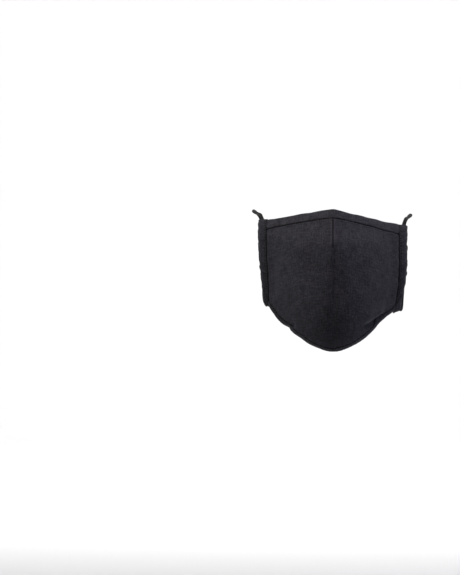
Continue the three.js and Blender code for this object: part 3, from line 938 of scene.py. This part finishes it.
def elastic_route(side):
    """Every point of the loop, in order."""
    half = STRAND_SPACING / 2
    tail = np.array(TAIL) + [LOCK_LENGTH, 0]
    return np.concatenate([
        casing_frame(side, IN_CASING_TOP)[0],
        on_side(side, OVER_THE_EAR),
        lock_points(side, [(-0.0027, half + 0.0005), (LOCK_LENGTH * 0.25, half), (LOCK_LENGTH, half)]),
        lock_points(side, tail),
        lock_points(side, (TAIL_END[0] + LOCK_LENGTH, TAIL_END[1])),
        lock_points(side, tail[::-1] * [1, -1]),
        lock_points(side, [(LOCK_LENGTH, -half), (LOCK_LENGTH * 0.25, -half), (-0.0022, -half - 0.0004)]),
        on_side(side, UNDER_THE_EAR),
        casing_frame(side, IN_CASING_BOTTOM)[0],
    ])


def smooth_line(points, step):
    """A smooth curve through the points, as even steps: a cubic between each pair, timed by
    the square root of their distance so that it never overshoots."""
    time = np.append(0, np.cumsum(np.sqrt(np.linalg.norm(np.diff(points, axis=0), axis=1))))
    before = np.vstack([2 * points[0] - points[1], points[:-1]])
    after = np.vstack([points[1:], 2 * points[-1] - points[-2]])
    wait = np.diff(time)
    past, next_ = np.append(wait[0], wait)[:, None], np.append(wait, wait[-1])[:, None]
    slope = (points - before) / past - (after - before) / (past + next_) + (after - points) / next_
    at = np.linspace(0, time[-1], 4000)
    i = np.clip(np.searchsorted(time, at) - 1, 0, len(points) - 2)
    span = wait[i][:, None]
    s = (at - time[i])[:, None] / span
    line = (
        (2 * s**3 - 3 * s**2 + 1) * points[i] + (s**3 - 2 * s**2 + s) * span * slope[i]
        + (3 * s**2 - 2 * s**3) * points[i + 1] + (s**3 - s**2) * span * slope[i + 1]
    )
    lengths = np.append(0, np.cumsum(np.linalg.norm(np.diff(line, axis=0), axis=1)))
    return at_places(line, lengths, np.linspace(0, lengths[-1], int(lengths[-1] / step))), lengths[-1]


# %% Sweep the elastics
ELASTIC_WIDTH, ELASTIC_THICK = 0.0031, 0.0024
ELASTIC_SIDES = 16


def sweep(line, width, thick, twist, sides):
    """A flat oval carried along a line: at each step one axis is square to the line and as near
    to X as it can be, and the section is turned from it by the twist."""
    ahead = unit(np.gradient(line, axis=0))
    sideways = np.array([1.0, 0, 0]) - ahead * ahead[:, :1]
    sideways = unit(sideways)
    inward = np.cross(ahead, sideways)
    angle = np.linspace(0, 2 * np.pi, sides, endpoint=False)
    a, b = width / 2 * np.cos(angle)[None, :], thick / 2 * np.sin(angle)[None, :]
    cos, sin = np.cos(twist)[:, None], np.sin(twist)[:, None]
    steps = np.arange(len(line))[:, None]
    ends = np.clip(steps, 0, 2) / 2 * np.clip(steps[::-1], 0, 2) / 2
    u, v = (a * cos - b * sin) * np.sqrt(ends), (a * sin + b * cos) * np.sqrt(ends)
    return line[:, None, :] + u[..., None] * sideways[:, None, :] + v[..., None] * inward[:, None, :]


def build_elastic(name, side):
    line, length = smooth_line(elastic_route(side), 0.00055)
    along = np.linspace(0, length, len(line))
    twist = side["x"] * np.pi / 4 + 0.3 * np.sin(along * 2 * np.pi / 0.13)
    twist = twist + np.pi * soft_step(along, 0.112, 0.140)
    points = sweep(line, ELASTIC_WIDTH, ELASTIC_THICK, twist, ELASTIC_SIDES)
    around = np.linspace(0, 1, ELASTIC_SIDES, endpoint=False)
    cloth_map = np.stack(np.broadcast_arrays(around[None, :], along[:, None]), axis=-1)
    faces = grid_faces(len(line), ELASTIC_SIDES, wrap_columns=True)
    return make_piece(name, points, faces, cloth_map, merge=True), line, length


# %% [markdown]
# ## The locks
#
# A lock is a soft barrel with six rings and a slot through it that grips both strands. It
# is closed like a ring doughnut: the section starts inside the slot, comes out over the
# front face, runs back over the ribs and returns through the slot.

# %% Build a lock
LOCK_RADIUS, LOCK_RIBS, RIB_HEIGHT, LOCK_HOLE = 0.0043, 6, 0.00045, 0.00165
LOCK_AROUND = 64


def slot_outline(angle, radius):
    """A slot with round ends, as the distance from the axis in each direction."""
    reach = STRAND_SPACING / 2
    x, y = np.abs(np.cos(angle)), np.abs(np.sin(angle))
    side = radius / np.maximum(y, 1e-6)
    end = reach * x + np.sqrt(np.maximum(radius**2 - (reach * y) ** 2, 0))
    return np.where(side * x <= reach, side, end)


def build_lock(name, side):
    """Radius and place along the axis for each step of the section, carried round the axis."""
    angle = np.linspace(0, 2 * np.pi, LOCK_AROUND, endpoint=False)
    slot = slot_outline(angle, LOCK_HOLE)
    ribs = np.linspace(0, 1, 12 * LOCK_RIBS + 1)
    swell = LOCK_RADIUS - 0.0005 * np.abs(ribs - 0.5) - 0.00035 * (np.abs(2 * ribs - 1) ** 8)
    ring = swell - RIB_HEIGHT * (1 - np.abs(np.sin(np.pi * ribs * LOCK_RIBS)) ** 0.55)
    face = np.linspace(0, 1, 7)
    front = slot[None, :] * (1 - face[:, None]) + (LOCK_RADIUS - 0.0011) * face[:, None]
    lip = 0.00035 * np.sin(np.pi * face)
    radius = np.concatenate([front, ring[:, None] + 0 * slot, front[::-1], np.repeat(slot[None], 3, 0)])
    place = np.concatenate([
        0.0003 - lip, 0.0003 + ribs * (LOCK_LENGTH - 0.0006), LOCK_LENGTH - 0.0003 + lip[::-1],
        LOCK_LENGTH * np.array([0.75, 0.5, 0.25]),
    ])
    across, sideways = radius * np.cos(angle), radius * np.sin(angle)
    along = place[:, None] + 0 * radius
    back = along * math.cos(LOCK_FALL) + across * math.sin(LOCK_FALL)
    up = across * math.cos(LOCK_FALL) - along * math.sin(LOCK_FALL)
    points = on_side(side, LOCK_MOUTH) + np.stack([sideways, back, up], axis=-1)
    # painted shade: 1 on the rib crests and near 0 in the grooves between them
    wear_and_shade = bell((radius - LOCK_RADIUS) / RIB_HEIGHT, 0.6)
    cloth_map = np.stack([angle / (2 * np.pi) + 0 * radius, along], axis=-1)
    return make_piece(
        name, points, grid_faces(len(radius), LOCK_AROUND, True, True), cloth_map, wear_and_shade
    )


# %% Put the elastics and locks on
elastics, locks = {}, {}
for name, side in SIDES.items():
    locks[name] = dress(build_lock(f"lock_{name}", side), LOCK_RUBBER, [f"cord_lock_{name}"])
    elastic, line, length = build_elastic(f"elastic_{name}", side)
    elastics[name] = dress(elastic, ELASTIC_BRAID, [f"ear_elastic_{name}"])
    print(f"elastic {name}: {length / MM:.0f} mm")

def outer_area(columns, rows):
    """The area of the cup's outer face, measured on its grid."""
    across = np.linspace(-1, 1, columns)
    length = column_length(across)
    down = cloth_region(across, TOP_HEM / length, 1 - BOTTOM_HEM / length, np.linspace(0, 1, rows))
    points = smooth_cup(np.broadcast_to(across, down.shape), down)
    sides = np.cross(np.diff(points, axis=0)[:, :-1], np.diff(points, axis=1)[:-1])
    return np.linalg.norm(sides, axis=-1).sum()


cup_area = outer_area(80, 60)
print("cup area, square cm:", round(cup_area * 1e4))

# %% [markdown]
# ## Light and stage
#
# Black cloth shows its form only by where the light comes from. A large soft light stands
# high in front, so steep that it brightens the nose and leaves the chin dark. Two weaker
# ones stand level with the face and far out to the sides, where they reach the cheeks but
# hardly the middle; the one on the wearer's left is bluer. The stage is a round paper cove:
# a floor that bends up into a wall all round, with a light of its own behind the mask.

# %% The stage
FLOOR = cad_low.z - 0.30


def build_cove():
    """A disc of floor, a quarter circle up, and a wall, turned round the middle."""
    flat, bend, height = 2.6, 1.2, 2.2
    arc = np.linspace(0, np.pi / 2, 20)
    radius = np.concatenate([[0.0, 0.8, 1.6], flat + bend * np.sin(arc), [flat + bend]])
    rise = np.concatenate([[0.0, 0.0, 0.0], bend * (1 - np.cos(arc)), [bend + height]])
    angle = np.linspace(0, 2 * np.pi, 96, endpoint=False)
    points = np.stack([
        radius[:, None] * np.cos(angle), radius[:, None] * np.sin(angle), FLOOR + rise[:, None] + 0 * angle
    ], axis=-1)
    faces = grid_faces(len(radius), len(angle), wrap_columns=True)
    mesh = bpy.data.meshes.new("cove")
    mesh.from_pydata(points.reshape(-1, 3).tolist(), [], faces.tolist())
    mesh.polygons.foreach_set("use_smooth", np.ones(len(mesh.polygons), bool))
    cove = bpy.data.objects.new("cove", mesh)
    bpy.context.scene.collection.objects.link(cove)
    mesh.materials.append(Finish("pale_paper", Roughness=0.9, Base_Color=(0.52, 0.52, 0.52, 1)).material)
    return cove


build_cove()


# %% The lights
def soft_light(name, place, target, size, power, colour=(1.0, 1.0, 1.0)):
    """A rectangular area light, from its width and height."""
    data = bpy.data.lights.new(name, "AREA")
    data.shape, data.size, data.size_y = "RECTANGLE", size[0], size[1]
    data.energy, data.color = power, colour
    light = bpy.data.objects.new(name, data)
    bpy.context.scene.collection.objects.link(light)
    look_at(light, place, target)


FACE = (0.0, 0.0, -0.06)
soft_light("light_key", (-0.15, -0.80, 1.95), FACE, (1.2, 0.7), 56, (1.0, 0.985, 0.97))
soft_light("light_left", (-1.90, -0.10, 0.45), FACE, (1.0, 1.0), 6, (1.0, 0.97, 0.95))
soft_light("light_right", (1.90, -0.10, 0.40), FACE, (1.0, 1.0), 11, (0.66, 0.66, 1.0))
soft_light("light_backdrop", (0.0, 1.0, 1.25), (0.0, 3.6, 0.0), (2.6, 0.6), 130)

world = bpy.data.worlds.new("room")
world.use_nodes = True
world.node_tree.nodes["Background"].inputs[0].default_value = (0.9, 0.93, 1.0, 1)
world.node_tree.nodes["Background"].inputs[1].default_value = 0.02
bpy.context.scene.world = world
bpy.context.scene.view_settings.view_transform = "Standard"
